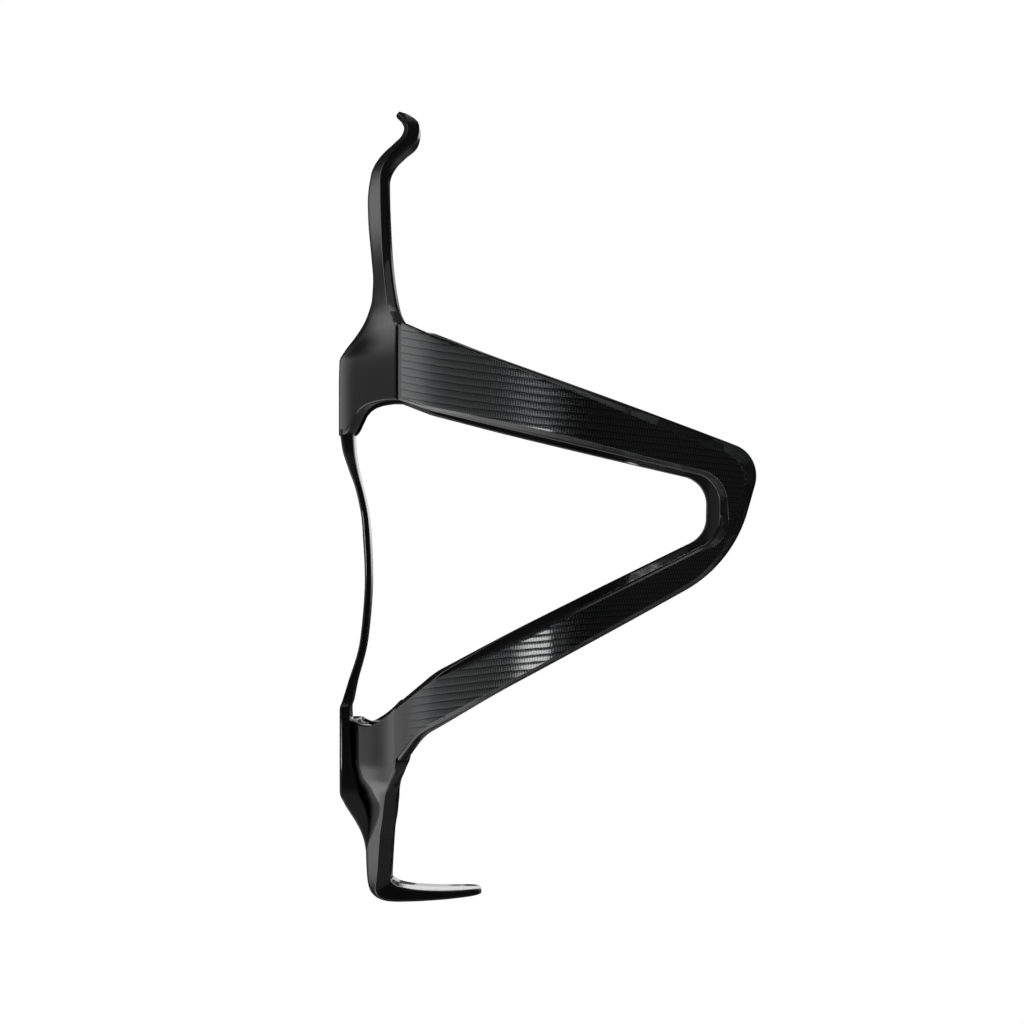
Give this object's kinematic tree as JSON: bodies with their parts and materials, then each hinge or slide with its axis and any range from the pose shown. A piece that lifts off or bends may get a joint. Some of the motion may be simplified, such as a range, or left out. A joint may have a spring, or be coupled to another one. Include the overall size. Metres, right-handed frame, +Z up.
{
  "type": "water bottle cage",
  "caption": "Bicycle water bottle cage: a bolt-on spine with two sprung wings round the bottle, a clicking hook at the top and a foot shelf below.",
  "frame": {"origin": "midway between the two bolt holes, on the plane that sits on the bicycle frame's bosses", "axes": "+X from the frame tube towards the bottle, +Z up along the bottle's axis, +Y towards the left wing"},
  "size_m": [0.0735, 0.0788, 0.1409],
  "materials": {
    "carbon_plain": "gloss clear-coated moulded carbon",
    "carbon_weave": "gloss clear-coated woven carbon ply",
    "carbon_doubler": "satin carbon ply stack"
  },
  "bodies": {
    "cage": {"upper_saddle": "carbon_plain", "lower_saddle": "carbon_plain", "spine_strap": "carbon_plain", "foot_strut": "carbon_plain", "foot_shelf": "carbon_plain", "upper_bolt_doubler": "carbon_doubler", "lower_bolt_doubler": "carbon_doubler"},
    "hook": {"neck_strap": "carbon_plain", "hook_lip": "carbon_plain"},
    "left_wing": {"left_wing_band": "carbon_plain", "left_wing_cover": "carbon_weave"},
    "right_wing": {"right_wing_band": "carbon_plain", "right_wing_cover": "carbon_weave"}
  },
  "joints": [
    {"name": "hook_flex", "type": "hinge", "parent": "cage", "child": "hook", "pos_m": [0.005, 0, 0.046], "axis": [0, -1, 0], "range_deg": [0, 9], "stiffness_Nm_per_rad": 8},
    {"name": "left_wing_flex", "type": "hinge", "parent": "cage", "child": "left_wing", "pos_m": [0.01021, 0.0185, 0], "axis": [0, 0, 1], "range_deg": [0, 3], "stiffness_Nm_per_rad": 20},
    {"name": "right_wing_flex", "type": "hinge", "parent": "cage", "child": "right_wing", "pos_m": [0.01021, -0.0185, 0], "axis": [0, 0, -1], "range_deg": [0, 3], "stiffness_Nm_per_rad": 20}
  ]
}
